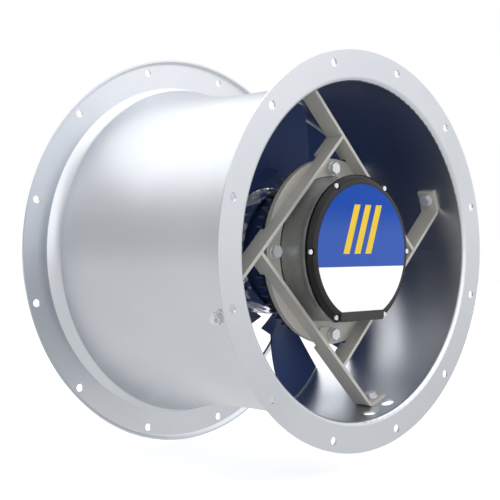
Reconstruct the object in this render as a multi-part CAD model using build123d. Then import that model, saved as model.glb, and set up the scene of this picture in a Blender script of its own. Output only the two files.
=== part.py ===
from build123d import *
from math import acos, asin, cos, degrees, radians, sin, sqrt, tan
import os

# Axial duct fan with a long casing, in millimetres. While it is built, the fan's
# axis is Z and the outlet flange's face is at z = 0. Everything else lies behind
# that face, and "depth" is the distance behind it. Seen from the outlet, X points
# right and Y points up. The last step turns the fan so that its axis lies along Y.

# Casing: a tube with its outlet flange turned out of it and a flared inlet end.
bore_radius = 242.0
casing_wall = 3.0
casing_length = 400.0
outlet_flange_width = 44.0
outlet_hole_inset = 15.5
outlet_bend = 6.0
flare_depth = 225.0
flare_rise = 32.0
flange_hole = 12.0
flange_holes = 12
cable_hole = 19.0
cable_hole_depth = 28.0
cable_hole_angles = (-70.0, -80.3)

# Inlet flange: a flat ring with its rim turned towards the outlet.
inlet_flange_width = 53.0
inlet_flange_lap = 7.0
inlet_hole_inset = 17.5
rim_height = 8.0
rim_lean = 4.0
rim_bend = 4.0

# Struts: four flat bars on edge, set round the motor like a pinwheel. Each one
# ends in a foot that is bent to lie along the casing.
strut_offset = 119.0
strut_thickness = 5.0
strut_front = 43.0
strut_width = 30.0
foot_sweep = 8.0
foot_bolt_sweep = 4.6
foot_bend = 6.0

# Mounting plate: the disc that the struts carry and the motor is bolted to.
plate_radius = 136.0
plate_thickness = 8.0
plate_ring_radius = 122.0
plate_bolts = 4
plate_opening = 40.0
notch_spare = 7.0
pad_width = 15.0
pad_height = 24.0
pad_thickness = 2.0
pad_edge = -9.0

# Hexagon fasteners of the struts and the motor.
bolt_radius = 5.0
bolt_flats = 16.0
bolt_head = 6.4
bolt_clearance = 0.5
bolt_end = 5.0
nut_height = 8.4
washer_radius = 10.0
washer_thickness = 2.0
motor_bolt_length = 19.0

# Electronics housing, the cover on its front and the parts inside it.
housing_radius = 110.6
housing_waist = 6.6
housing_seam_depth = 18.5
housing_lip = 4.0
housing_wall = 5.0
housing_flat_inset = 10.6
gasket_thickness = 1.0
cover_front = 7.0
cover_face_inset = 11.6
cover_curve_inset = 4.0
cover_curve_rise = 3.4
cover_shoulder_inset = 0.3
cover_shoulder_rise = 6.5
cover_wall = 3.0
cover_flat_inset = 15.0
screw_inset = 4.1
boss_radius = 6.9
pocket_wall_radius = 5.5
pocket_floor = 12.0
cover_screws = 6
screw_radius = 2.0
screw_head_radius = 3.6
screw_head_height = 2.5
screw_length = 15.0
screw_hole_spare = 1.0
label_inset = 14.3
label_thickness = 0.5
terminal_half_width = 47.0
terminal_inset = 1.0
terminal_front = 6.0
terminal_gap = 0.3
terminal_corner = 5.0
board_clearance = 6.0
board_gap = 16.0
board_thickness = 1.6
standoff_radius = 4.0
standoff_inset = 12.0
capacitor_radius = 11.0
capacitor_height = 14.0

# Motor: a fixed stator on a bearing carrier, inside a turning rotor bell.
stator_flange_radius = 118.0
stator_flange_thickness = 12.0
lug_radius = 10.0
fin_count = 56
fin_inner_radius = 104.0
fin_outer_radius = 129.0
fin_length = 12.0
fin_thickness = 2.6
carrier_radius = 30.0
carrier_depth = 215.0
bearing_radius = 23.5
bearing_width = 14.0
bearing_inset = 4.0
shaft_radius = 10.0
shaft_back = 229.0
running_gap = 0.05
ring_height = 3.0
ring_thickness = 1.5
core_radius = 75.0
core_front = 122.0
core_length = 62.0
core_yoke = 42.0
tooth_count = 12
tooth_width = 11.0
tooth_tip = 4.0
slot_mouth = 5.0
coil_thickness = 5.0
magnet_gap = 1.0
magnet_thickness = 4.0
magnet_count = 10
magnet_spacing = 3.0
magnet_overhang = 4.0
bell_radius = 84.0
bell_front = 104.0
bell_back = 226.0
bell_floor = 6.0
moving_gap = 0.3

# Impeller: a hub ring on the rotor bell, and nine blades.
hub_radius = 98.0
hub_front = 156.0
hub_nose_radius = 94.5
hub_mouth_radius = 92.0
hub_mouth_depth = 6.0
hub_inner_radius = 88.0
hub_seat_depth = 214.0
hub_shoulder_radius = 96.0
hub_rim_depth = 192.0
rim_groove_width = 3.0
rim_groove_radius = 93.5
hub_back = 232.0
hub_opening = 40.0
hub_ring_radius = 66.0
hub_screws = 6
hub_screw_radius = 4.0
hub_screw_length = 11.0
hub_screw_head = 4.0
pocket_radius = 7.5
pocket_depth = 170.0
pocket_turn = -7.0
pocket_floor_radius = 90.0
blade_screw_radius = 5.5
blade_screw_head = 4.0
blade_count = 9
blade_tip_gap = 1.0
blade_back = 226.5
blade_root_front = 173.0
blade_tip_front = 183.0
blade_shoulder_radius = 113.0
blade_root_back_angle = -55.3
blade_tip_back_angle = -54.0
blade_root_sweep = 43.3
blade_tip_sweep = 29.6
blade_flare_back = 10.0
blade_flare_front = 8.5
blade_root_camber = 0.03
blade_tip_camber = 0.02
blade_root_thickness = 7.0
blade_tip_thickness = 4.0
blade_edge_share = 0.4

# Values worked out from the ones above.
casing_radius = bore_radius + casing_wall
outlet_flange_radius = bore_radius + outlet_flange_width
outlet_hole_circle = 2 * (outlet_flange_radius - outlet_hole_inset)
flare_end_radius = bore_radius + flare_rise
inlet_opening_radius = flare_end_radius - inlet_flange_lap
inlet_flange_radius = inlet_opening_radius + inlet_flange_width
inlet_hole_circle = 2 * (inlet_flange_radius - inlet_hole_inset)
foot_radius = bore_radius - strut_thickness
strut_inner = strut_offset - strut_thickness / 2
strut_outer = strut_offset + strut_thickness / 2
strut_back = strut_front + strut_width
strut_middle = strut_front + strut_width / 2
strut_end_angle = degrees(acos(strut_offset / bore_radius))
foot_bolt_angle = strut_end_angle + foot_bolt_sweep
plate_back = strut_back
plate_front = plate_back - plate_thickness
housing_floor = plate_front - housing_wall
housing_waist_radius = housing_radius - housing_waist
housing_flat = housing_radius - housing_flat_inset
cover_back = housing_seam_depth - gasket_thickness
cover_face_radius = housing_radius - cover_face_inset
cover_flat = housing_flat - cover_flat_inset
screw_ring_radius = housing_radius - screw_inset
label_radius = housing_radius - label_inset
terminal_bottom = housing_flat - terminal_inset
board_radius = housing_waist_radius - housing_wall - board_clearance
standoff_ring_radius = board_radius - standoff_inset
board_back = housing_floor - board_gap
stator_flange_back = plate_back + stator_flange_thickness
front_bearing = stator_flange_back + bearing_inset
back_bearing = carrier_depth - bearing_inset - bearing_width
ring_depth = front_bearing - moving_gap - ring_thickness
magnet_radius = core_radius + magnet_gap
bell_inside = magnet_radius + magnet_thickness
blade_tip_radius = bore_radius - blade_tip_gap
blade_middle_angle = blade_tip_back_angle - blade_tip_sweep / 2
pocket_start = blade_middle_angle + pocket_turn
pocket_angles = [pocket_start + 360 / blade_count * k for k in range(blade_count)]


def slab(radius, front, back):
    """Round plate between two depths."""
    return Pos(0, 0, -(front + back) / 2) * Cylinder(radius, back - front)


def pipe(outer, inner, front, back):
    """Round plate with a round hole."""
    return slab(outer, front, back) - slab(inner, front, back)


def polar(radius, angle):
    """Point on a circle about the axis."""
    return (radius * cos(radians(angle)), radius * sin(radians(angle)))


def outward(angle, depth, radius):
    """Plane that faces away from the axis, at the given radius."""
    x, y = polar(1, angle)
    return Plane(origin=(radius * x, radius * y, -depth), x_dir=(0, 0, 1), z_dir=(x, y, 0))


def inward(angle, depth, radius):
    """Plane that faces the axis, at the given radius."""
    x, y = polar(1, angle)
    return Plane(origin=(radius * x, radius * y, -depth), x_dir=(0, 0, 1), z_dir=(-x, -y, 0))


def holes(circle, count, radius, front, back, start=0.0):
    """Ring of axial drills."""
    depth = (front + back) / 2
    places = PolarLocations(circle, count, start_angle=start)
    return [Pos(0, 0, -depth) * place * Cylinder(radius, back - front) for place in places]


def above(height, front, back):
    """Block that keeps what lies above a flat cut."""
    size = 4 * housing_radius
    return Pos(0, size / 2 - height, -(front + back) / 2) * Box(size, size, back - front)


def hex_bolt(length):
    """Bolt with its head standing on the origin and its shank going down."""
    head = extrude(RegularPolygon(bolt_flats / 2, 6, major_radius=False), bolt_head)
    return head + Pos(0, 0, -length / 2) * Cylinder(bolt_radius, length)


def round_screw(radius, head_radius, head_height, length):
    """Screw with a round head standing on the origin."""
    head = Pos(0, 0, head_height / 2) * Cylinder(head_radius, head_height)
    return head + Pos(0, 0, -length / 2) * Cylinder(radius, length)


def washer():
    """Plain washer standing on the origin."""
    blank = Pos(0, 0, washer_thickness / 2) * Cylinder(washer_radius, washer_thickness)
    return blank - Cylinder(bolt_radius + bolt_clearance, 3 * washer_thickness)


def nut():
    """Hexagon nut standing on the origin."""
    blank = extrude(RegularPolygon(bolt_flats / 2, 6, major_radius=False), nut_height)
    return blank - Cylinder(bolt_radius, 3 * nut_height)


# Casing.

def casing_tube():
    """Tube with the outlet flange turned outward and the inlet end flared."""
    flange_start = bore_radius + outlet_bend
    rise = flare_end_radius - casing_radius
    flare_run = casing_length - flare_depth
    flare_curve = (flare_run ** 2 + rise ** 2) / (2 * rise)
    flare_centre = casing_radius + flare_curve
    inner_end = flare_centre - sqrt((flare_curve + casing_wall) ** 2 - flare_run ** 2)
    outline = [
        Line((outlet_flange_radius, 0), (flange_start, 0)),
        TangentArc((flange_start, 0), (bore_radius, -outlet_bend), tangent=(-1, 0)),
        Line((bore_radius, -outlet_bend), (bore_radius, -flare_depth)),
        TangentArc((bore_radius, -flare_depth), (inner_end, -casing_length), tangent=(0, -1)),
        Line((inner_end, -casing_length), (flare_end_radius, -casing_length)),
        TangentArc((casing_radius, -flare_depth), (flare_end_radius, -casing_length), tangent=(0, -1)),
        Line((casing_radius, -flare_depth), (casing_radius, -outlet_bend)),
        TangentArc((casing_radius, -outlet_bend), (flange_start, -casing_wall), tangent=(0, 1)),
        Line((flange_start, -casing_wall), (outlet_flange_radius, -casing_wall)),
        Line((outlet_flange_radius, -casing_wall), (outlet_flange_radius, 0)),
    ]
    tube = revolve(Plane.XZ * make_face(outline), Axis.Z)
    half_step = 180 / flange_holes
    tube -= holes(outlet_hole_circle / 2, flange_holes, flange_hole / 2, -1, casing_wall + 1, half_step)
    drill = Cylinder(bolt_radius + bolt_clearance, 6 * casing_wall)
    for k in range(4):
        tube -= outward(foot_angle(k), strut_middle, casing_radius) * drill
    for angle in cable_hole_angles:
        tube -= outward(angle, cable_hole_depth, casing_radius) * Cylinder(cable_hole / 2, 6 * casing_wall)
    return tube


def inlet_flange_ring():
    """Flat ring with its rim bent forward, welded to the end of the flare."""
    front = -casing_length
    back = front - casing_wall
    rim_foot = inlet_flange_radius - rim_lean
    outline = make_face(Polyline(
        (inlet_opening_radius, front),
        (rim_foot - casing_wall, front),
        (inlet_flange_radius - casing_wall, front + rim_height),
        (inlet_flange_radius, front + rim_height),
        (rim_foot, back),
        (inlet_opening_radius, back),
        close=True,
    ))
    inner_corner = outline.vertices().sort_by_distance((rim_foot - casing_wall, front))[0]
    outline = fillet(inner_corner, rim_bend)
    outer_corner = outline.vertices().sort_by_distance((rim_foot, back))[0]
    outline = fillet(outer_corner, rim_bend + casing_wall / 2)
    ring = revolve(Plane.XZ * outline, Axis.Z)
    low = casing_length - 1
    high = casing_length + casing_wall + 1
    return ring - holes(inlet_hole_circle / 2, flange_holes, flange_hole / 2, low, high, 180 / flange_holes)


# Struts and mounting plate.

def strut_turn(k):
    """Angle of the k-th strut's outward side."""
    return 45 + 90 * k


def foot_angle(k):
    """Angle of the bolt through the k-th strut's foot."""
    return strut_turn(k) + foot_bolt_angle


def strut(k):
    """Flat bar on edge, notched for the plate, with a foot along the casing."""
    corner_angle = degrees(acos(strut_outer / bore_radius))
    sweep = strut_end_angle + foot_sweep - corner_angle
    bar = Pos(strut_offset, (bore_radius - strut_inner) / 2) * Rectangle(strut_thickness, bore_radius + strut_inner)
    foot = make_face([
        CenterArc((0, 0), bore_radius, corner_angle, sweep),
        Line(polar(bore_radius, corner_angle + sweep), polar(foot_radius, corner_angle + sweep)),
        CenterArc((0, 0), foot_radius, corner_angle, sweep),
        Line(polar(foot_radius, corner_angle), polar(bore_radius, corner_angle)),
    ])
    outline = (bar & Circle(bore_radius)) + foot
    inner_corner = (strut_inner, sqrt(foot_radius ** 2 - strut_inner ** 2))
    outline = fillet(outline.vertices().sort_by_distance(inner_corner)[0], foot_bend)
    outer_corner = (strut_outer, sqrt(bore_radius ** 2 - strut_outer ** 2))
    outline = fillet(outline.vertices().sort_by_distance(outer_corner)[0], foot_bend + strut_thickness)
    body = extrude(Pos(0, 0, -strut_back) * outline, strut_width)
    chord = 2 * (sqrt(plate_radius ** 2 - strut_inner ** 2) + notch_spare)
    notch_depth = -(plate_front + plate_back) / 2
    body -= Pos(strut_offset, 0, notch_depth) * Box(3 * strut_thickness, chord, plate_thickness)
    drill = Cylinder(bolt_radius + bolt_clearance, 6 * strut_thickness)
    body -= outward(foot_bolt_angle, strut_middle, foot_radius) * drill
    return Rot(0, 0, strut_turn(k)) * body


def mounting_plate():
    """Disc in the struts' notches, with the motor's bolt holes and a small pad."""
    plate = pipe(plate_radius, plate_opening, plate_front, plate_back)
    plate -= holes(plate_ring_radius, plate_bolts, bolt_radius + bolt_clearance, plate_front - 1, plate_back + 1)
    pad_x = pad_edge - bolt_radius - pad_width / 2
    pad_y = -(housing_radius + pad_height / 2)
    pad = Pos(pad_x, pad_y, pad_thickness / 2 - plate_front) * Box(pad_width, pad_height, pad_thickness)
    return plate + (pad & slab(plate_radius, 0, plate_front))


def foot_bolts():
    """Four bolts, heads inside the casing."""
    seat = washer_seat() - washer_thickness
    length = casing_radius + washer_thickness + nut_height + bolt_end - seat
    return [inward(foot_angle(k), strut_middle, seat) * hex_bolt(length) for k in range(4)]


def washer_seat():
    """Radius at which a flat washer meets the foot's hollow side."""
    return sqrt(foot_radius ** 2 - washer_radius ** 2)


def foot_washers():
    """One washer under each head and one under each nut."""
    inside = [inward(foot_angle(k), strut_middle, washer_seat()) * washer() for k in range(4)]
    outside = [outward(foot_angle(k), strut_middle, casing_radius) * washer() for k in range(4)]
    return inside + outside


def foot_nuts():
    """Four nuts outside the casing."""
    seat = casing_radius + washer_thickness
    return [outward(foot_angle(k), strut_middle, seat) * nut() for k in range(4)]


def plate_bolt_set():
    """Bolts that hold the motor to the plate."""
    seat = Pos(0, 0, washer_thickness - plate_front)
    bolt = hex_bolt(motor_bolt_length + washer_thickness)
    return [seat * place * bolt for place in PolarLocations(plate_ring_radius, plate_bolts)]


def plate_washers():
    """Washers under the motor's bolts."""
    seat = Pos(0, 0, -plate_front)
    return [seat * place * washer() for place in PolarLocations(plate_ring_radius, plate_bolts)]


# Electronics housing and cover.

def electronics_housing():
    """Waisted round shell with a flat underside, standing on the plate."""
    lip_back = housing_seam_depth + housing_lip
    waist_depth = (lip_back + plate_front) / 2
    outline = [
        Line((0, -plate_front), (housing_radius, -plate_front)),
        ThreePointArc(
            (housing_radius, -plate_front),
            (housing_waist_radius, -waist_depth),
            (housing_radius, -lip_back),
        ),
        Line((housing_radius, -lip_back), (housing_radius, -housing_seam_depth)),
        Line((housing_radius, -housing_seam_depth), (0, -housing_seam_depth)),
        Line((0, -housing_seam_depth), (0, -plate_front)),
    ]
    shell = revolve(Plane.XZ * make_face(outline), Axis.Z)
    shell &= above(housing_flat, 0, plate_front)
    hollow = slab(housing_waist_radius - housing_wall, housing_seam_depth - 1, housing_floor)
    shell -= hollow & above(housing_flat - housing_wall, 0, plate_front)
    hole_end = pocket_floor + screw_length + screw_hole_spare
    return shell - holes(screw_ring_radius, cover_screws, screw_radius, housing_seam_depth - 1, hole_end)


def cover_gasket():
    """Seal between the housing and its cover."""
    seal = slab(housing_radius, cover_back, housing_seam_depth)
    seal &= above(housing_flat, 0, plate_front)
    hollow = slab(housing_waist_radius - housing_wall, 0, plate_front)
    seal -= hollow & above(housing_flat - housing_wall, 0, plate_front)
    return seal - holes(screw_ring_radius, cover_screws, screw_radius, 0, plate_front)


def electronics_cover():
    """Shallow cap with six screw pockets, cut away below for the terminal cover."""
    face_edge = (cover_face_radius, -cover_front)
    curve = (housing_radius - cover_curve_inset, -cover_front - cover_curve_rise)
    shoulder = (housing_radius - cover_shoulder_inset, -cover_front - cover_shoulder_rise)
    outline = [
        Line((0, -cover_front), face_edge),
        ThreePointArc(face_edge, curve, shoulder),
        Line(shoulder, (housing_radius, -cover_back)),
        Line((housing_radius, -cover_back), (0, -cover_back)),
        Line((0, -cover_back), (0, -cover_front)),
    ]
    cap = revolve(Plane.XZ * make_face(outline), Axis.Z)
    bosses = holes(screw_ring_radius, cover_screws, boss_radius, pocket_floor, cover_back)
    rim = slab(housing_radius, 0, plate_front)
    cap += [boss & rim for boss in bosses]
    cap &= above(housing_flat, 0, plate_front)
    hollow = slab(housing_waist_radius - housing_wall - boss_radius, cover_front + cover_wall, cover_back)
    cap -= hollow & above(cover_flat - cover_wall, 0, plate_front)
    opening = Box(2 * (terminal_half_width + terminal_gap), cover_flat, plate_front)
    cap -= Pos(0, -1.5 * cover_flat - terminal_gap, -plate_front / 2) * opening
    cap -= holes(screw_ring_radius, cover_screws, pocket_wall_radius, 0, pocket_floor)
    return cap - holes(screw_ring_radius, cover_screws, screw_radius, 0, plate_front)


def cover_screw_set():
    """Round-headed screws in the cover's pockets."""
    seat = Pos(0, 0, -pocket_floor)
    screw = round_screw(screw_radius, screw_head_radius, screw_head_height, screw_length)
    return [seat * place * screw for place in PolarLocations(screw_ring_radius, cover_screws)]


def cover_label():
    """Printed disc with a flat lower edge, on the cover's face."""
    disc = slab(label_radius, cover_front - label_thickness, cover_front)
    return disc & above(cover_flat, 0, plate_front)


def terminal_cover():
    """Small cover over the terminals, below the flat of the label."""
    height = terminal_bottom - cover_flat - terminal_gap
    face = Pos(0, -terminal_bottom + height / 2) * Rectangle(2 * terminal_half_width, height)
    low_corners = face.vertices().sort_by(Axis.Y)[:2]
    face = fillet(low_corners, terminal_corner)
    return extrude(Pos(0, 0, -cover_back) * face, cover_back - terminal_front)


def circuit_board():
    """Board on four standoffs inside the housing."""
    board = slab(board_radius, board_back - board_thickness, board_back)
    return board & above(cover_flat, 0, plate_front)


def board_standoffs():
    """Posts between the housing's floor and the board."""
    return holes(standoff_ring_radius, 4, standoff_radius, board_back, housing_floor, 45)


def capacitors():
    """Round capacitors under the board."""
    return holes(board_radius / 2, 4, capacitor_radius, board_back, board_back + capacitor_height, 45)


# Motor.

def stator_flange():
    """Cast flange with cooling fins, and the tube that carries the bearings."""
    flange = slab(stator_flange_radius, plate_back, stator_flange_back)
    flange += holes(plate_ring_radius, plate_bolts, lug_radius, plate_back, stator_flange_back)
    flange -= holes(plate_ring_radius, plate_bolts, bolt_radius, plate_back - 1, stator_flange_back + 1)
    fin_width = fin_outer_radius - fin_inner_radius
    fin = Pos(fin_inner_radius + fin_width / 2, 0) * Rectangle(fin_width, fin_thickness)
    fin += Pos(fin_outer_radius, 0) * Circle(fin_thickness / 2)
    fins = Circle(fin_inner_radius + fin_thickness) - Circle(fin_inner_radius)
    fins += [Rot(0, 0, 360 / fin_count * (k + 0.5)) * fin for k in range(fin_count)]
    flange += extrude(Pos(0, 0, -stator_flange_back) * fins, -fin_length)
    flange += slab(carrier_radius, stator_flange_back, carrier_depth)
    return flange - slab(bearing_radius, stator_flange_back, carrier_depth + 1)


def stator_core():
    """Stack of sheets with twelve teeth."""
    gap = radians(360 / tooth_count) * core_radius - slot_mouth
    sheet = Circle(core_yoke)
    tooth_length = core_radius - core_yoke + 1
    tooth = Pos(core_radius - tooth_length / 2, 0) * Rectangle(tooth_length, tooth_width)
    shoe = Pos(core_radius - tooth_tip / 2, 0) * Rectangle(tooth_tip, gap)
    for k in range(tooth_count):
        sheet += Rot(0, 0, 360 / tooth_count * k) * (tooth + shoe)
    sheet &= Circle(core_radius)
    sheet -= Circle(carrier_radius)
    return extrude(Pos(0, 0, -core_front) * sheet, -core_length)


def stator_coils():
    """One coil round each tooth."""
    inner = core_yoke + 4
    outer = core_radius - tooth_tip - 1
    middle = -(core_front + core_length / 2)
    window = Box(4 * core_radius, tooth_width, core_length)
    coil = Box(outer - inner, tooth_width + 2 * coil_thickness, core_length + 2 * coil_thickness)
    shape = Pos((inner + outer) / 2, 0, middle) * coil - Pos(0, 0, middle) * window
    side = 2 * core_radius
    cut = Rot(0, 0, 180 / tooth_count) * Pos(side / 2, side / 2, middle) * Box(side, side, 2 * core_length)
    other = mirror(cut, Plane.XZ)
    shape = shape - cut - other
    return [Rot(0, 0, 360 / tooth_count * k) * shape for k in range(tooth_count)]


def bearing(depth):
    """Ball bearing, as one ring."""
    return pipe(bearing_radius, shaft_radius + running_gap, depth, depth + bearing_width)


def rotor_shaft():
    """Plain shaft, held in the floor of the bell."""
    return slab(shaft_radius, ring_depth - 1, shaft_back)


def retaining_ring():
    """Ring on the front end of the shaft."""
    return pipe(shaft_radius + ring_height, shaft_radius, ring_depth, ring_depth + ring_thickness)


def rotor_bell():
    """Cup that turns round the stator."""
    bell = slab(bell_radius, bell_front, bell_back)
    bell -= slab(bell_inside, bell_front - 1, bell_back - bell_floor)
    bell -= slab(shaft_radius, bell_front, bell_back + 1)
    back = bell_back - bell_floor - 1
    return bell - holes(hub_ring_radius, hub_screws, hub_screw_radius, back, bell_back + 1)


def rotor_magnets():
    """Curved magnets inside the bell."""
    front = core_front - magnet_overhang
    back = core_front + core_length + magnet_overhang
    ring = pipe(bell_inside, magnet_radius, front, back)
    step = 360 / magnet_count
    sector = step - degrees(magnet_spacing / magnet_radius)
    wedge = make_face([
        Line((0, 0), polar(2 * bell_radius, -sector / 2)),
        Line(polar(2 * bell_radius, -sector / 2), polar(2 * bell_radius, sector / 2)),
        Line(polar(2 * bell_radius, sector / 2), (0, 0)),
    ])
    magnet = ring & extrude(Pos(0, 0, -back) * wedge, back)
    return [Rot(0, 0, step * k) * magnet for k in range(magnet_count)]


# Impeller.

def impeller_hub():
    """Ring with a grooved rim, a rounded nose, nine pockets and a back web.

    Its mouth stands clear of the bell, and only the seat at the back touches it.
    """
    groove_back = hub_rim_depth - rim_groove_width / 2
    groove_front = groove_back - rim_groove_width
    nose_middle = (hub_front + groove_front) / 2
    outline = [
        Line((hub_mouth_radius, -hub_front), (hub_inner_radius, -hub_front - hub_mouth_depth)),
        Line((hub_inner_radius, -hub_front - hub_mouth_depth), (hub_inner_radius, -hub_seat_depth)),
        Line((hub_inner_radius, -hub_seat_depth), (bell_radius, -hub_seat_depth)),
        Line((bell_radius, -hub_seat_depth), (bell_radius, -bell_back)),
        Line((bell_radius, -bell_back), (hub_opening, -bell_back)),
        Line((hub_opening, -bell_back), (hub_opening, -hub_back)),
        Line((hub_opening, -hub_back), (hub_radius, -hub_back)),
        Line((hub_radius, -hub_back), (hub_radius, -groove_back)),
        Line((hub_radius, -groove_back), (rim_groove_radius, -groove_back)),
        Line((rim_groove_radius, -groove_back), (rim_groove_radius, -groove_front)),
        Line((rim_groove_radius, -groove_front), (hub_shoulder_radius, -groove_front)),
        ThreePointArc(
            (hub_shoulder_radius, -groove_front),
            ((hub_shoulder_radius + hub_nose_radius) / 2 + 1.5, -nose_middle),
            (hub_nose_radius, -hub_front),
        ),
        Line((hub_nose_radius, -hub_front), (hub_mouth_radius, -hub_front)),
    ]
    hub = revolve(Plane.XZ * make_face(outline), Axis.Z)
    for angle in pocket_angles:
        drill = Pos(0, 0, pocket_radius) * Cylinder(pocket_radius, 2 * pocket_radius)
        hub -= outward(angle, pocket_depth, pocket_floor_radius) * drill
    return hub - holes(hub_ring_radius, hub_screws, hub_screw_radius, bell_back - 1, hub_back + 1)


def hub_screw_set():
    """Screws that fix the hub's web to the bell."""
    seat = Pos(0, 0, -hub_back) * Rot(180, 0, 0)
    screw = round_screw(hub_screw_radius, 2 * hub_screw_radius, hub_screw_head, hub_screw_length)
    return [place * seat * screw for place in PolarLocations(hub_ring_radius, hub_screws)]


def blade_screws():
    """Screw heads at the bottom of the hub's pockets."""
    head = Pos(0, 0, blade_screw_head / 2) * Cylinder(blade_screw_radius, blade_screw_head)
    return [outward(angle, pocket_depth, pocket_floor_radius) * head for angle in pocket_angles]


def between(share, root, tip):
    """Value at this share of the way from the root to the tip."""
    return root + share * (tip - root)


def blade_section(reach):
    """Blade outline on the flat plane that is this far from the axis.

    Its back edge keeps to one depth and its front edge leans back towards the
    tip. It bulges towards the inlet and has blunt, slightly rounded edges.
    Below the shoulder both edges spread towards the hub.
    """
    share = (reach - blade_shoulder_radius) / (blade_tip_radius - blade_shoulder_radius)
    flare = max(0.0, (blade_shoulder_radius - reach) / (blade_shoulder_radius - hub_radius))
    share = max(0.0, share)
    back_angle = between(share, blade_root_back_angle, blade_tip_back_angle)
    sweep = between(share, blade_root_sweep, blade_tip_sweep)
    front_depth = between(share, blade_root_front, blade_tip_front)
    thickness = between(share, blade_root_thickness, blade_tip_thickness)
    chord = radians(sweep) * reach
    hollow = 4 * between(share, blade_root_camber, blade_tip_camber) * chord
    back_angle += flare * blade_flare_back
    sweep += flare * (blade_flare_back + blade_flare_front)
    sides = ([], [])
    for step in (0.0, 0.12, 0.35, 0.65, 0.88, 1.0):
        across = reach * tan(radians(back_angle - sweep * step - blade_middle_angle))
        round_share = 4 * step * (1 - step)
        depth = between(step, blade_back, front_depth) + hollow * step * (1 - step)
        half = between(round_share, blade_edge_share, 1.0) * thickness / 2
        for side, points in zip((-1, 1), sides):
            points.append((across, -depth + side * half))
    back_side, front_side = sides
    outline = [
        Spline(*back_side),
        Line(back_side[-1], front_side[-1]),
        Spline(*reversed(front_side)),
        Line(front_side[0], back_side[0]),
    ]
    x, y = polar(1, blade_middle_angle)
    plane = Plane(origin=(reach * x, reach * y, 0), x_dir=(-y, x, 0), z_dir=(x, y, 0))
    return plane * make_face(outline)


def blade(k):
    """The k-th blade: its flared root on the hub and the swept blade above it."""
    root = blade_shoulder_radius - 1.2 * (blade_shoulder_radius - hub_radius)
    tip = 1.02 * blade_tip_radius
    flare = loft([blade_section(root), blade_section(blade_shoulder_radius)], ruled=True)
    steps = (0.0, 0.25, 0.5, 0.75, 1.0)
    body = loft([blade_section(between(step, blade_shoulder_radius, tip)) for step in steps])
    body = (flare + body) & pipe(blade_tip_radius, hub_radius, hub_front, 1.1 * hub_back)
    return Rot(0, 0, 360 / blade_count * k) * body


# Every separate piece, by name. A list holds like pieces that share one name.
pieces = {
    "casing_tube": casing_tube(),
    "inlet_flange_ring": inlet_flange_ring(),
    "strut_upper_right": strut(0),
    "strut_upper_left": strut(1),
    "strut_lower_left": strut(2),
    "strut_lower_right": strut(3),
    "mounting_plate": mounting_plate(),
    "foot_bolts": foot_bolts(),
    "foot_washers": foot_washers(),
    "foot_nuts": foot_nuts(),
    "plate_bolts": plate_bolt_set(),
    "plate_washers": plate_washers(),
    "electronics_housing": electronics_housing(),
    "cover_gasket": cover_gasket(),
    "electronics_cover": electronics_cover(),
    "cover_screws": cover_screw_set(),
    "cover_label": cover_label(),
    "terminal_cover": terminal_cover(),
    "circuit_board": circuit_board(),
    "board_standoffs": board_standoffs(),
    "capacitors": capacitors(),
    "stator_flange": stator_flange(),
    "stator_core": stator_core(),
    "stator_coils": stator_coils(),
    "front_bearing": bearing(front_bearing),
    "back_bearing": bearing(back_bearing),
    "rotor_shaft": rotor_shaft(),
    "retaining_ring": retaining_ring(),
    "rotor_bell": rotor_bell(),
    "rotor_magnets": rotor_magnets(),
    "impeller_hub": impeller_hub(),
    "hub_screws": hub_screw_set(),
    "blade_screws": blade_screws(),
}
for number in range(blade_count):
    pieces[f"blade_{number + 1}"] = blade(number)

# Stand the fan up: its axis along Y, the outlet facing -Y, up along +Z.
os.makedirs("parts", exist_ok=True)
upright = Rot(90, 0, 0)
for name, shape in pieces.items():
    if isinstance(shape, list):
        shape = Compound([upright * solid for solid in shape])
    else:
        shape = upright * shape
    export_step(shape, f"parts/{name}.step")
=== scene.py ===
# %% [markdown]
# An axial duct fan. Its solids come ready made: a spun casing with two flanges, four
# flat struts, a round electronics housing, a motor and nine blades. This file gives
# them their finishes, rounds the edges that catch the light, and sets up the studio
# and the camera. Everything is in metres, and the fan's axis lies along Y.

# %% Load the fan
from math import cos, radians, sin

import bmesh
import bpy
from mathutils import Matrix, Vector


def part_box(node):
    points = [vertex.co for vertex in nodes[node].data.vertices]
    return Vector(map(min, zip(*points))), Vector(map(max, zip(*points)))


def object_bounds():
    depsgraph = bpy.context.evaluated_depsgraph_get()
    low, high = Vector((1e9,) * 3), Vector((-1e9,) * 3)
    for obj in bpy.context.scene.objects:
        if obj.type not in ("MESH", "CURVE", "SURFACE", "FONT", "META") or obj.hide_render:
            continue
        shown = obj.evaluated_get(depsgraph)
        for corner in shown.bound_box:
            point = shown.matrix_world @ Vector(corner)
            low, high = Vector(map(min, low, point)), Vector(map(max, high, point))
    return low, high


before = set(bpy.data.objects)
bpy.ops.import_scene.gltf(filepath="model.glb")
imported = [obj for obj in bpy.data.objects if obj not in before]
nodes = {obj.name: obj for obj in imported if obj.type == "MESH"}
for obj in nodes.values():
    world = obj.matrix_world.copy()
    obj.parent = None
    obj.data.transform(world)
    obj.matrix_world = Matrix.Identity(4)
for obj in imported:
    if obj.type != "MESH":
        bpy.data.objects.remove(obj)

cad_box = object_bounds()
print("solids:", len(nodes), "box:", [tuple(round(x, 3) for x in corner) for corner in cad_box])

# %% [markdown]
# The camera stands in front of the outlet, to its left, at almost the height of the
# fan's axis. Its place is worked out from the middle of the axis, so the numbers are
# angles and distances that could be measured in a studio.

# %% Camera
flare_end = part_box("casing_tube")[1].y
axis_middle = Vector((0, flare_end / 2, 0))
view_azimuth = radians(-44.05)
view_elevation = radians(0.38)
view_distance = 1.6248
view_aside = -0.0272
view_raise = 0.0013
focal_length_mm = 74.74
film_width_mm = 36

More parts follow.
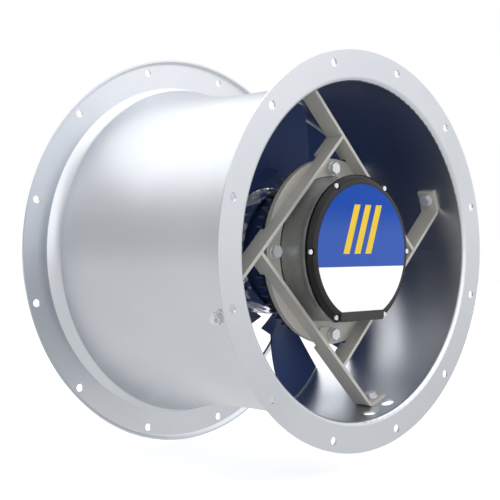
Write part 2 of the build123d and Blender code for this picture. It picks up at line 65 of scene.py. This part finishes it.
level = cos(view_elevation)
back = Vector((sin(view_azimuth) * level, -cos(view_azimuth) * level, sin(view_elevation)))
right = Vector((cos(view_azimuth), sin(view_azimuth), 0))
up = back.cross(right)
camera_data = bpy.data.cameras.new("camera")
camera_data.lens = focal_length_mm
camera_data.sensor_width = film_width_mm
camera_data.clip_end = 60
camera = bpy.data.objects.new("camera", camera_data)
bpy.context.scene.collection.objects.link(camera)
camera.location = axis_middle + back * view_distance + right * view_aside + up * view_raise
camera.rotation_mode = "QUATERNION"
camera.rotation_quaternion = (-back).to_track_quat("-Z", "Y")
bpy.context.scene.camera = camera
bpy.context.scene.view_settings.view_transform = "Standard"
print("camera at", tuple(round(x, 3) for x in camera.location))

# %% [markdown]
# Shader graphs are long to click together, so a small class wraps one socket of a
# graph. Adding or multiplying two wraps adds the Math node, which lets a mask be
# written as a formula. Any other node comes from its method `node`.

# %% Shader maths
class Wire:
    """A socket in a shader graph that can be used in formulas."""

    def __init__(self, tree, socket=None):
        self.tree = tree
        self.socket = socket

    def node(self, kind, settings=None, sockets=None, out=0):
        """Adds a node: its settings first, then what its sockets hold."""
        made = self.tree.nodes.new(kind)
        for name, value in (settings or {}).items():
            if name == "stops":
                set_stops(made.color_ramp, value)
            else:
                setattr(made, name, value)
        for name, value in (sockets or {}).items():
            if isinstance(value, Wire):
                self.tree.links.new(value.socket, made.inputs[name])
            else:
                made.inputs[name].default_value = value
        return Wire(self.tree, made.outputs[out]) if made.outputs else None

    def math(self, operation, *terms):
        """Adds a Math node for these terms, in their order."""
        return self.node("ShaderNodeMath", {"operation": operation}, dict(enumerate(terms)))

    def __add__(self, other):
        return self.math("ADD", self, other)

    def __radd__(self, other):
        return self.math("ADD", other, self)

    def __sub__(self, other):
        return self.math("SUBTRACT", self, other)

    def __rsub__(self, other):
        return self.math("SUBTRACT", other, self)

    def __mul__(self, other):
        return self.math("MULTIPLY", self, other)

    def __rmul__(self, other):
        return self.math("MULTIPLY", other, self)

    def __pow__(self, other):
        return self.math("POWER", self, other)

    def sine(self):
        return self.math("SINE", self)

    def size(self):
        """The value without its sign."""
        return self.math("ABSOLUTE", self)

    def larger(self, other):
        """The larger of two values."""
        return self.math("MAXIMUM", self, other)

    def above(self, edge, blur):
        """0 below the edge and 1 above it, with a soft step of width blur."""
        return self.node("ShaderNodeMapRange", {"interpolation_type": "SMOOTHSTEP"},
                         {"Value": self, "From Min": edge - blur / 2, "From Max": edge + blur / 2})

    def ramp(self, start, end):
        """Rises evenly from 0 at the start to 1 at the end, and stays there."""
        return self.node("ShaderNodeMapRange", {},
                         {"Value": self, "From Min": start, "From Max": end})

    def mix(self, first, second):
        """The first colour where self is 0, and the second where it is 1."""
        return self.node("ShaderNodeMix", {"data_type": "RGBA"}, {0: self, 6: first, 7: second}, 2)

    def shades(self, first, second):
        """The same for two colours that are given as 0 to 255 screen values."""
        return self.mix(screen(*first), screen(*second))

    def toward(self, colour, target):
        """The same for a colour that goes over to 0 to 255 screen values."""
        return self.mix(colour, screen(*target))

    def split(self):
        """The x, y and z parts of a vector."""
        parts = self.node("ShaderNodeSeparateXYZ", {}, {0: self}).socket.node
        return [Wire(self.tree, parts.outputs[axis]) for axis in "XYZ"]

    def dot(self, other):
        """The cosine of the angle between two directions."""
        return self.node("ShaderNodeVectorMath", {"operation": "DOT_PRODUCT"},
                         {0: self, 1: other}, "Value")


def set_stops(ramp, stops):
    """Gives a colour ramp these stops, each a place and a grey."""
    while len(ramp.elements) < len(stops):
        ramp.elements.new(1.0)
    for element, (place, grey) in zip(ramp.elements, stops):
        element.position = place
        element.color = plain_grey(grey)


def plain_grey(value):
    """An RGBA tuple from a grey in linear light."""
    return (value, value, value, 1.0)


def screen(red, green, blue):
    """The colour in linear light that shows as these 0 to 255 screen values."""
    parts = (red / 255, green / 255, blue / 255)
    linear = [c / 12.92 if c <= 0.04045 else ((c + 0.055) / 1.055) ** 2.4 for c in parts]
    return (*linear, 1.0)


print("mid grey in linear light:", round(screen(128, 128, 128)[0], 3))

# %% [markdown]
# Every finish starts in the same way: a Principled shader and a point that tells
# where on the piece the shading happens. The point is the piece's own coordinate, so
# a pattern turns with the impeller instead of swimming over it.

# %% A new finish
class Finish:
    """A material under construction."""

    def __init__(self, name, **constants):
        self.material = bpy.data.materials.new(name)
        self.material.use_nodes = True
        tree = self.material.node_tree
        self.shader = tree.nodes["Principled BSDF"]
        self.wire = Wire(tree)
        self.point = self.wire.node("ShaderNodeTexCoord", out="Object")
        self.x, self.y, self.z = self.point.split()
        self.radius = (self.x * self.x + self.z * self.z) ** 0.5
        for socket, value in constants.items():
            self.shader.inputs[socket.replace("_", " ")].default_value = value

    def set(self, socket, value):
        """Feeds one of the shader's sockets from a wire."""
        self.wire.tree.links.new(value.socket, self.shader.inputs[socket])

    def noise(self, scale, detail=2.0, stretch=(1, 1, 1), distortion=0.0):
        """Cloudy noise from 0 to 1; a large scale makes small clouds."""
        place = self.wire.node("ShaderNodeMapping", {}, {"Vector": self.point, "Scale": stretch})
        shape = {"Vector": place, "Scale": scale, "Detail": detail, "Distortion": distortion}
        return self.wire.node("ShaderNodeTexNoise", {}, shape)

    def spots(self, scale, reach):
        """Small round spots: 1 in their middles and 0 beyond their reach."""
        shape = {"Vector": self.point, "Scale": scale}
        cell = self.wire.node("ShaderNodeTexVoronoi", {}, shape, "Distance")
        return 1 - cell.above(reach, reach)

    def bump(self, height, depth_mm):
        """Turns a height into relief: a height of 1 stands out this many millimetres."""
        normal = self.wire.node("ShaderNodeBump", {}, {"Height": height, "Distance": depth_mm / 1000})
        self.set("Normal", normal)

    def edges(self, width_mm):
        """1 along sharp edges and 0 on flat faces."""
        rounded = self.wire.node("ShaderNodeBevel", {"samples": 4}, {"Radius": width_mm / 1000})
        plain = self.wire.node("ShaderNodeNewGeometry", out="Normal")
        return 1 - rounded.dot(plain).above(0.9, 0.16)


def give(finish, *names):
    """Puts a finish on CAD nodes."""
    for name in names:
        mesh = nodes[name].data
        mesh.materials.clear()
        mesh.materials.append(finish.material)
    print(finish.material.name, "on", *names)


print("nodes that want a finish:", len(nodes))

# %% [markdown]
# The casing and its inlet flange are galvanised sheet steel, which mirrors the room
# softly. A paint could be mixed to the same grey, but only a metal takes its lights
# and darks from the room, so the sheet is fully metallic with a middling roughness. A
# slow cloud of noise varies the tone, and fine grain breaks up the highlight. Where the
# flare meets its flange, a spun casing has a hollow corner. The solids meet at a plain
# edge there, so a relief that rises towards the flange turns the light instead. Its
# rise is judged from the bright strip there, and is no measure of the corner.

# %% Casing finish
corner_length = 0.025
corner_rise_mm = 16.0
casing_finish = Finish("casing_sheet", Metallic=1.0)
cloud = casing_finish.noise(6, detail=4)
grain = casing_finish.noise(900, detail=1)
sheet_colour = cloud.above(0.5, 0.6).shades((202, 206, 212), (210, 213, 218))
specks = casing_finish.spots(70, 0.05)
casing_finish.set("Base Color", (specks * 0.25).toward(sheet_colour, (150, 152, 158)))
casing_finish.set("Roughness", 0.26 + cloud * 0.06 + grain * 0.04)
corner = casing_finish.y.ramp(flare_end - corner_length, flare_end) ** 1.5 * corner_rise_mm
casing_finish.bump(corner + (grain + cloud * 0.4) * 0.02, 1.0)
give(casing_finish, "casing_tube", "inlet_flange_ring")

# %% [markdown]
# The struts and the mounting plate wear a warm grey paint with a satin sheen. Paint
# thins on sharp edges, so a mask from rounded against plain normals lightens them. The
# wear could be drawn by hand, but the mask finds every edge by itself.

# %% Strut paint
strut_finish = Finish("strut_paint", Specular_IOR_Level=0.3)
cloud = strut_finish.noise(14, detail=3)
grain = strut_finish.noise(1400, detail=1)
worn = strut_finish.edges(0.9) * strut_finish.noise(60).above(0.45, 0.3)
paint_colour = cloud.shades((182, 180, 174), (193, 191, 185))
strut_finish.set("Base Color", (worn * 0.5).toward(paint_colour, (206, 204, 198)))
strut_finish.set("Roughness", 0.42 + grain * 0.12)
strut_finish.bump(grain, 0.03)
give(strut_finish, "strut_upper_right", "strut_upper_left", "strut_lower_left", "strut_lower_right",
     "mounting_plate")

# %% [markdown]
# Fasteners are zinc plated: bright and slightly blue, with a fine grain and a duller
# film in places. Plain metal would mirror too hard at this size, so the plating is half
# metallic, and its pale base shows through the film.

# %% Zinc plating
zinc_finish = Finish("zinc_plating", Metallic=0.5)
cloud = zinc_finish.noise(120, detail=3)
zinc_finish.set("Base Color", cloud.shades((205, 208, 214), (236, 238, 242)))
zinc_finish.set("Roughness", 0.22 + cloud * 0.2)
zinc_finish.bump(zinc_finish.noise(2500), 0.01)
give(zinc_finish, "foot_bolts", "foot_washers", "foot_nuts", "plate_bolts", "plate_washers",
     "cover_screws", "hub_screws", "blade_screws")

# %% [markdown]
# The electronics housing is a casting under glossy dark grey paint, so the bolts
# beside it show in it. It could be a plain dark paint, but that mirrors too little, so
# it is part metallic under a thin clear coat. A slight orange peel bends the
# reflections. The last millimetre or two beside the plate is painted shade: darker
# paint for the shadow in the gap between housing and plate, which a mask on the
# depth gives.

# %% Housing paint
joint_shade_width = 0.0018
housing_finish = Finish("housing_paint", Metallic=0.6, Coat_Weight=0.3, Coat_Roughness=0.08)
cloud = housing_finish.noise(30, detail=2)
peel = housing_finish.noise(420, detail=1)
painted = cloud.shades((150, 153, 152), (162, 165, 164))
foot_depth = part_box("electronics_housing")[1].y
# Painted shade: the paint darkens where the gap beside the plate lies in shadow.
joint_shade = housing_finish.y.above(foot_depth - joint_shade_width, 0.0008)
housing_finish.set("Base Color", (joint_shade * 0.85).toward(painted, (30, 31, 31)))
housing_finish.set("Roughness", 0.25 + peel * 0.08)
housing_finish.bump(peel, 0.008)
give(housing_finish, "electronics_housing")

# %% [markdown]
# Between the housing and its cover lies a strip of light grey rubber. Rubber has no
# shine to speak of, so a rough surface in two near greys is enough for it.

# %% Gasket
gasket_finish = Finish("gasket_rubber")
gasket_finish.set("Base Color", gasket_finish.noise(300).shades((135, 138, 140), (160, 163, 165)))
gasket_finish.set("Roughness", 0.5 + gasket_finish.noise(900) * 0.2)
give(gasket_finish, "cover_gasket")

# %% [markdown]
# The cover and the terminal cover are moulded plastic. A mould with a fine spark
# texture leaves tiny pits, which give a soft, broad gloss. The cover's outer border is
# polished, and its blacker colour beside the lighter band at the label is painted
# shade, for the band that turns sideways. The border is a ring round the fan's axis, so
# the distance from the axis finds it. Each screw sits in a well, and the well's dark is
# painted shade too, from the same kind of mask round the screw's own middle. Radius and
# middles are measured on the solids, so the masks follow them.

# %% Measures on the solids
def farthest(name):
    """How far a node reaches from the fan's axis."""
    return max(Vector((vertex.co.x, vertex.co.z)).length for vertex in nodes[name].data.vertices)


def middles(name, reach):
    """The middles of a node's separate small solids, as (x, z) across the fan's axis."""
    groups = []
    for vertex in nodes[name].data.vertices:
        place = Vector((vertex.co.x, vertex.co.z))
        near = [group for group in groups if (group[0] - place).length < reach]
        if near:
            near[0].append(place)
        else:
            groups.append([place])
    return [sum(group, Vector((0, 0))) / len(group) for group in groups]


cover_radius = farthest("electronics_cover")
screw_middles = middles("cover_screws", 0.012)
print("cover radius:", round(cover_radius, 4), "cover screws:", len(screw_middles))

# %% Moulded plastic
shaded_border_width = 0.0071
shaded_well_radius = 0.0055


def moulded(name, dark, light, roughness, shaded_polished_from=1.0, shaded_wells=()):
    """Plastic from a spark-textured mould, polished and darkened as painted shade beyond a radius,
    and with painted shade round its screws.

    It is polished and shaded nowhere by default, because no piece is a metre from the axis.
    """
    finish = Finish(name, Specular_IOR_Level=0.16, Coat_Weight=0.04, Coat_Roughness=0.06)
    pits = finish.noise(1800, detail=2)
    plastic = finish.noise(25, detail=2).shades(dark, light)
    # Painted shade: the outer border and the screw wells are darkened in the colour; the border's
    # lower roughness is a real polish.
    shaded_border_and_wells = finish.radius.above(shaded_polished_from, 0.0006)
    for middle in shaded_wells:
        across = finish.x - middle.x
        upward = finish.z - middle.y
        distance = (across * across + upward * upward) ** 0.5
        shaded_border_and_wells = shaded_border_and_wells.larger(1 - distance.above(shaded_well_radius, 0.001))
    finish.set("Base Color", (shaded_border_and_wells * 0.75).toward(plastic, (8, 8, 9)))
    finish.set("Roughness", roughness + pits * 0.12 - shaded_border_and_wells * 0.14)
    finish.bump(pits * (1 - shaded_border_and_wells), 0.02)
    return finish


cover_finish = moulded("cover_plastic", (38, 37, 38), (47, 46, 47), 0.3,
                       cover_radius - shaded_border_width, screw_middles)
give(cover_finish, "electronics_cover")
give(moulded("terminal_plastic", (54, 54, 53), (64, 64, 63), 0.35), "terminal_cover")

# %% [markdown]
# The label is a printed film: blue above, deeper at its top, and white below. An image
# could hold the print, but formulas on the height and the place across stay sharp at
# any distance. Its motif is a plain one of three slanted yellow bars: one stripe
# between two edges, and the same stripe at the places on both sides of it.

# %% Label
blue_edge = -0.0215
deep_blue_height = 0.045
bar_width = 0.013
bar_spacing = 0.024
bar_slant = 0.35
bar_middle = 0.032
bar_height = 0.07
bar_blur = 0.0005
label_finish = Finish("label_print", Specular_IOR_Level=0.15)
fade = label_finish.z.above(deep_blue_height, 0.05)
blue = fade.shades((54, 88, 170), (10, 68, 162))
white = label_finish.noise(40).shades((246, 246, 247), (252, 252, 253))
leaning = label_finish.x - (label_finish.z - bar_middle) * bar_slant
bars = 0
for step in (-1, 0, 1):
    off_middle = (leaning - step * bar_spacing).size()
    bars = bars + (1 - off_middle.above(bar_width / 2, bar_blur))
off_height = (label_finish.z - bar_middle).size()
bars = bars * (1 - off_height.above(bar_height / 2, bar_blur))
printed = label_finish.z.above(blue_edge, 0.0004).mix(white, blue)
label_finish.set("Base Color", bars.toward(printed, (228, 194, 60)))
label_finish.set("Roughness", 0.35 + label_finish.noise(500) * 0.1)
label_finish.bump(label_finish.noise(700), 0.005)
give(label_finish, "cover_label")

# %% [markdown]
# The blades are painted a deep navy blue. Their tips run one millimetre from the
# casing and are left bare, which shows as a thin bright line. Because the tips lie on
# one cylinder, the distance from the axis finds them. The motor's bell wears the same
# paint all over.

# %% Blade paint
bare_width = 0.0013
blade_count = 9


def navy_paint(name):
    """Deep blue paint with a low sheen: the finish, and a colour that isn't set yet."""
    finish = Finish(name, Specular_IOR_Level=0.25)
    grain = finish.noise(1100, detail=1)
    finish.set("Roughness", 0.38 + grain * 0.12)
    finish.bump(grain, 0.02)
    return finish, finish.noise(9, detail=3).shades((44, 64, 110), (54, 74, 124))


blade_finish, navy = navy_paint("blade_paint")
bare_tip = blade_finish.radius.above(farthest("blade_1") - bare_width, 0.0004)
blade_finish.set("Base Color", bare_tip.toward(navy, (175, 178, 184)))
blade_finish.set("Metallic", bare_tip * 0.9)
give(blade_finish, *[f"blade_{number}" for number in range(1, blade_count + 1)])
bell_finish, navy = navy_paint("bell_paint")
bell_finish.set("Base Color", navy)
give(bell_finish, "rotor_bell")

# %% [markdown]
# The hub is cast aluminium with a polished outer wall, which shows light and dark
# patches. The studio has too little to mirror for that, so a soft relief with wide
# clouds breaks the reflections up, and its crests are a little matter than its hollows.
# Its four millimetres serve the look alone: a real skin is far more even. The end
# faces are turned, so a lathe's fine rings take over there: a sine of the radius, whose
# rate gives a ring every 0.7 millimetres. The floors of the pockets are painted darker,
# as painted shade in the recesses, and all lie at one depth below the wall.

# %% Hub metal
hub_radius = farthest("impeller_hub")
wall_depth = 0.0045
pocket_floor = hub_radius - 0.0085
floor_spread = 0.001
ring_rate = 9000
hub_finish = Finish("hub_metal")
waves = hub_finish.noise(48, detail=0.6, distortion=0.6)
cloud = hub_finish.noise(20, detail=3)
wall = hub_finish.radius.above(hub_radius - wall_depth, 0.001)
crests = waves.above(0.52, 0.12) * wall
rings = (hub_finish.radius * ring_rate).sine() * 0.5 + 0.5
polished = cloud.shades((222, 224, 228), (244, 245, 248))
below_wall = 1 - hub_finish.radius.above(pocket_floor + floor_spread, 0.0008)
# Painted shade: the pocket floors are darkened brown in the colour, for the shadow in the recesses.
pocket_shade = hub_finish.radius.above(pocket_floor - floor_spread, 0.0004) * below_wall
hub_finish.set("Base Color", (pocket_shade * 0.8).toward(polished, (84, 72, 62)))
hub_finish.set("Metallic", 1 - crests * 0.85)
hub_finish.set("Roughness", 0.24 - wall * 0.12 + crests * 0.2 + pocket_shade * 0.2)
hub_finish.bump(waves * wall * 4.0 + rings * (1 - wall) * 0.01, 1.0)
give(hub_finish, "impeller_hub")

# %% [markdown]
# The motor's core is a stack of iron sheets, and its magnets are dark too. Both lie
# inside the bell, so one dark metal with a fine grain does for both.

# %% Motor iron
iron_finish = Finish("motor_iron", Metallic=0.8)
cloud = iron_finish.noise(40, detail=3)
iron_finish.set("Base Color", cloud.shades((52, 53, 56), (76, 77, 80)))
iron_finish.set("Roughness", 0.35 + cloud * 0.15)
iron_finish.bump(iron_finish.noise(800), 0.03)
give(iron_finish, "stator_core", "rotor_magnets")

# %% [markdown]
# The finned flange of the motor is raw cast aluminium. Its skin keeps the grain of the
# mould, so one fine noise drives both the relief and the roughness. The posts under the
# circuit board and the cans of the capacitors are near enough to it.

# %% Cast aluminium
cast_finish = Finish("cast_aluminium", Metallic=0.9)
cloud = cast_finish.noise(50, detail=3)
skin = cast_finish.noise(1200, detail=2)
cast_finish.set("Base Color", cloud.shades((112, 114, 122), (140, 143, 152)))
cast_finish.set("Roughness", 0.35 + skin * 0.15)
cast_finish.bump(skin, 0.05)
give(cast_finish, "stator_flange", "board_standoffs", "capacitors")

# %% [markdown]
# Shaft, bearings and ring are ground steel. Grinding leaves scratches that run round
# the axis. Noise that is squeezed along the axis makes them, with no image needed.

# %% Ground steel
ground_finish = Finish("ground_steel", Metallic=1.0)
scratches = ground_finish.noise(90, detail=3, stretch=(1, 30, 1))
ground_finish.set("Base Color", scratches.shades((180, 182, 186), (205, 207, 210)))
ground_finish.set("Roughness", 0.15 + scratches * 0.15)
ground_finish.bump(scratches, 0.01)
give(ground_finish, "front_bearing", "back_bearing", "rotor_shaft", "retaining_ring")

# %% [markdown]
# The coils are copper wire under clear lacquer. Every turn could be a curve of its own,
# but the coils are deep inside the motor, so a squeezed noise with some relief stands
# for the turns, and a coat for the lacquer.

# %% Coil wire
copper_finish = Finish("coil_wire", Metallic=0.9, Coat_Weight=0.5)
turns = copper_finish.noise(300, detail=1, stretch=(1, 8, 1))
copper_finish.set("Base Color", turns.shades((120, 58, 30), (196, 112, 66)))
copper_finish.set("Roughness", 0.25 + turns * 0.2)
copper_finish.bump(turns, 0.2)
give(copper_finish, "stator_coils")

# %% [markdown]
# The circuit board is green lacquer, which is lighter where copper lies under it. A
# noise that is cut off at its middle gives such patches with clear edges.

# %% Board lacquer
board_finish = Finish("board_lacquer", Coat_Weight=0.3)
tracks = board_finish.noise(60, detail=1, stretch=(1, 1, 3)).above(0.5, 0.05)
board_finish.set("Base Color", tracks.shades((22, 74, 44), (34, 98, 58)))
board_finish.set("Roughness", 0.3 + tracks * 0.1)
give(board_finish, "circuit_board")
print("finishes:", len(bpy.data.materials))

# %% [markdown]
# The studio has a white surround, and the camera sees it as plain white. Metal and
# plastic mirror the same white, with a grey card at the left, six soft glows and one
# soft shade, because a mirror looks flat without lights and darks in it. A glow is a
# round patch of the surround, so it has no hard edge as the mirror image of a lamp
# would. Their places are judged in the camera's view, and other views show them
# where they fall. The light that reaches the fan is softer, and stronger from above.

# %% Two kinds of rays
def rays(wire):
    """Two masks: rays straight from the camera, and rays that were mirrored or bent."""
    path = wire.node("ShaderNodeLightPath").socket.node
    camera_ray, glossy_ray, clear_ray = (
        Wire(wire.tree, path.outputs[name])
        for name in ("Is Camera Ray", "Is Glossy Ray", "Is Transmission Ray")
    )
    return camera_ray, glossy_ray.larger(clear_ray)


world = bpy.data.worlds.new("studio")
bpy.context.scene.world = world
world.use_nodes = True
world.node_tree.nodes.clear()
sky = Wire(world.node_tree)
straight, bent = rays(sky)
print("ray masks:", straight.socket.name, "and", bent.socket.node.operation)

# %% Surround
fill_strength = 0.9
card_depth = 0.36
fill_stops = [(0.0, 0.45), (0.5, 0.5), (1.0, 1.0)]
direction = sky.node("ShaderNodeTexCoord", out="Generated")
across, along, height = direction.split()
fill = sky.node("ShaderNodeValToRGB", {"stops": fill_stops}, {0: height * 0.5 + 0.5})
lit = sky.node("ShaderNodeBackground", {}, {"Color": fill, "Strength": fill_strength})


def glow(aim, edge, blur):
    """1 in the surround around an aim, and 0 where the cosine to it is below the edge."""
    return direction.dot(aim).above(edge, blur)


from_left = (0 - across).above(0.35, 0.7)
card = from_left * along.above(-0.4, 0.5) * (1 - height.size().above(0.45, 0.5))
glows = {
    "behind": (glow((0.07, 0.74, 0.665), 0.855, 0.22), 0.82),
    "above": (glow((0.1, -0.35, 0.93), 0.82, 0.16), 0.8),
    "in front": (glow((0.25, -0.88, 0.4), 0.9, 0.14), 0.6),
    "at the right": (glow((0.66, -0.69, 0.3), 0.965, 0.06), 0.22),
    "at the left": (glow((-0.45, -0.87, 0.2), 0.92, 0.1), 0.6),
    "on the flare": (glow((0.69, 0.05, 0.72), 0.95, 0.08), 0.6),
    "shade by the flare": (glow((0.7, 0.5, 0.51), 0.94, 0.1), -0.5),
}
brightness = 1 - card * card_depth
for patch, strength in glows.values():
    brightness = brightness + patch * strength
mirrored = sky.node("ShaderNodeBackground", {}, {"Color": plain_grey(1.0), "Strength": brightness})
white = sky.node("ShaderNodeBackground", {}, {"Color": plain_grey(1.0), "Strength": 1.0})
surround = sky.node("ShaderNodeMixShader", {}, {0: bent, 1: lit, 2: mirrored})
surround = sky.node("ShaderNodeMixShader", {}, {0: straight, 1: surround, 2: white})
sky.node("ShaderNodeOutputWorld", {}, {"Surface": surround})
print("patches of the surround:", ", ".join(glows))

# %% [markdown]
# The floor has to look white and still keep the fan's shadow. More light would bleach
# the fan too, so the floor is a pale surface that glows a little for the camera alone.
# Metal sees it as an even, slightly greyer white.

# %% Floor
floor_size = 12.0
floor_gap = 0.001
floor_grey = 0.75
floor_lift = 0.6
floor_mirrored = 0.87
floor_mesh = bpy.data.meshes.new("floor")
shape = bmesh.new()
bmesh.ops.create_grid(shape, x_segments=2, y_segments=2, size=floor_size / 2)
shape.to_mesh(floor_mesh)
shape.free()
floor = bpy.data.objects.new("floor", floor_mesh)
floor.location = (0, 0, cad_box[0].z - floor_gap)
bpy.context.scene.collection.objects.link(floor)
print("floor at height", round(floor.location.z, 3))

# %% Floor material
floor_material = bpy.data.materials.new("floor")
floor_material.use_nodes = True
floor_material.node_tree.nodes.clear()
ground = Wire(floor_material.node_tree)
straight, bent = rays(ground)
pale = ground.node("ShaderNodeBsdfDiffuse", {}, {"Color": plain_grey(floor_grey)})
lift = ground.node("ShaderNodeEmission", {}, {"Color": plain_grey(1.0), "Strength": floor_lift})
lifted = ground.node("ShaderNodeAddShader", {}, {0: pale, 1: lift})
even = ground.node("ShaderNodeEmission", {}, {"Color": plain_grey(1.0), "Strength": floor_mirrored})
top = ground.node("ShaderNodeMixShader", {}, {0: straight, 1: pale, 2: lifted})
top = ground.node("ShaderNodeMixShader", {}, {0: bent, 1: top, 2: even})
ground.node("ShaderNodeOutputMaterial", {}, {"Surface": top})
floor_mesh.materials.append(floor_material)
print("floor seen as", floor_grey, "lifted by", floor_lift)

# %% [markdown]
# Four soft boxes light the fan: from behind, above, the right and the left. They are
# large, so their shadows are soft. No metal mirrors them, because the glows of the
# surround already stand for the lamps there.

# %% Lamps
def softbox(name, place, width, height, watts):
    """Area lamp that points at the middle of the fan, and that no metal mirrors."""
    lamp = bpy.data.lights.new(name, "AREA")
    lamp.shape = "RECTANGLE"
    lamp.size = width
    lamp.size_y = height
    lamp.energy = watts
    box = bpy.data.objects.new(name, lamp)
    box.location = place
    box.rotation_mode = "QUATERNION"
    box.rotation_quaternion = (axis_middle - box.location).to_track_quat("-Z", "Y")
    box.visible_glossy = False
    bpy.context.scene.collection.objects.link(box)
    print(name, "of", watts, "watts")


softbox("back_lamp", Vector((0.3, 2.3, 1.9)), 2.4, 1.0, 32)
softbox("top_lamp", Vector((0.1, -0.2, 2.7)), 2.0, 2.0, 36)
softbox("right_lamp", Vector((2.5, -1.7, 1.0)), 2.0, 1.2, 42)
softbox("left_lamp", Vector((-2.4, -1.5, 0.8)), 1.2, 1.2, 9)

# %% [markdown]
# Pressed and moulded edges are never knife sharp. A bevel rounds the corners of the
# hexagon heads and of the cover a little, so that they catch the light like real ones.
# A bevel needs edges that two faces share, and a solid from CAD comes as separate faces
# that only touch. So a weld joins them first, and flat neighbours are made one face.

# %% Rounded corners
weld_gap = 0.000002
flat_angle = radians(0.3)
sharp_angle = radians(35)


def soften(width_mm, *names):
    """Rounds the sharp edges of CAD nodes."""
    for name in names:
        weld = nodes[name].modifiers.new("joined", "WELD")
        weld.merge_threshold = weld_gap
        flat = nodes[name].modifiers.new("flat_faces", "DECIMATE")
        flat.decimate_type = "DISSOLVE"
        flat.angle_limit = flat_angle
        bevel = nodes[name].modifiers.new("rounded", "BEVEL")
        bevel.width = width_mm / 1000
        bevel.segments = 3
        bevel.limit_method = "ANGLE"
        bevel.angle_limit = sharp_angle
        bevel.harden_normals = True
    print("rounded by", width_mm, "mm:", *names)


soften(0.7, "plate_bolts", "foot_bolts", "foot_nuts")
soften(0.4, "plate_washers", "foot_washers")
soften(0.8, "electronics_cover")
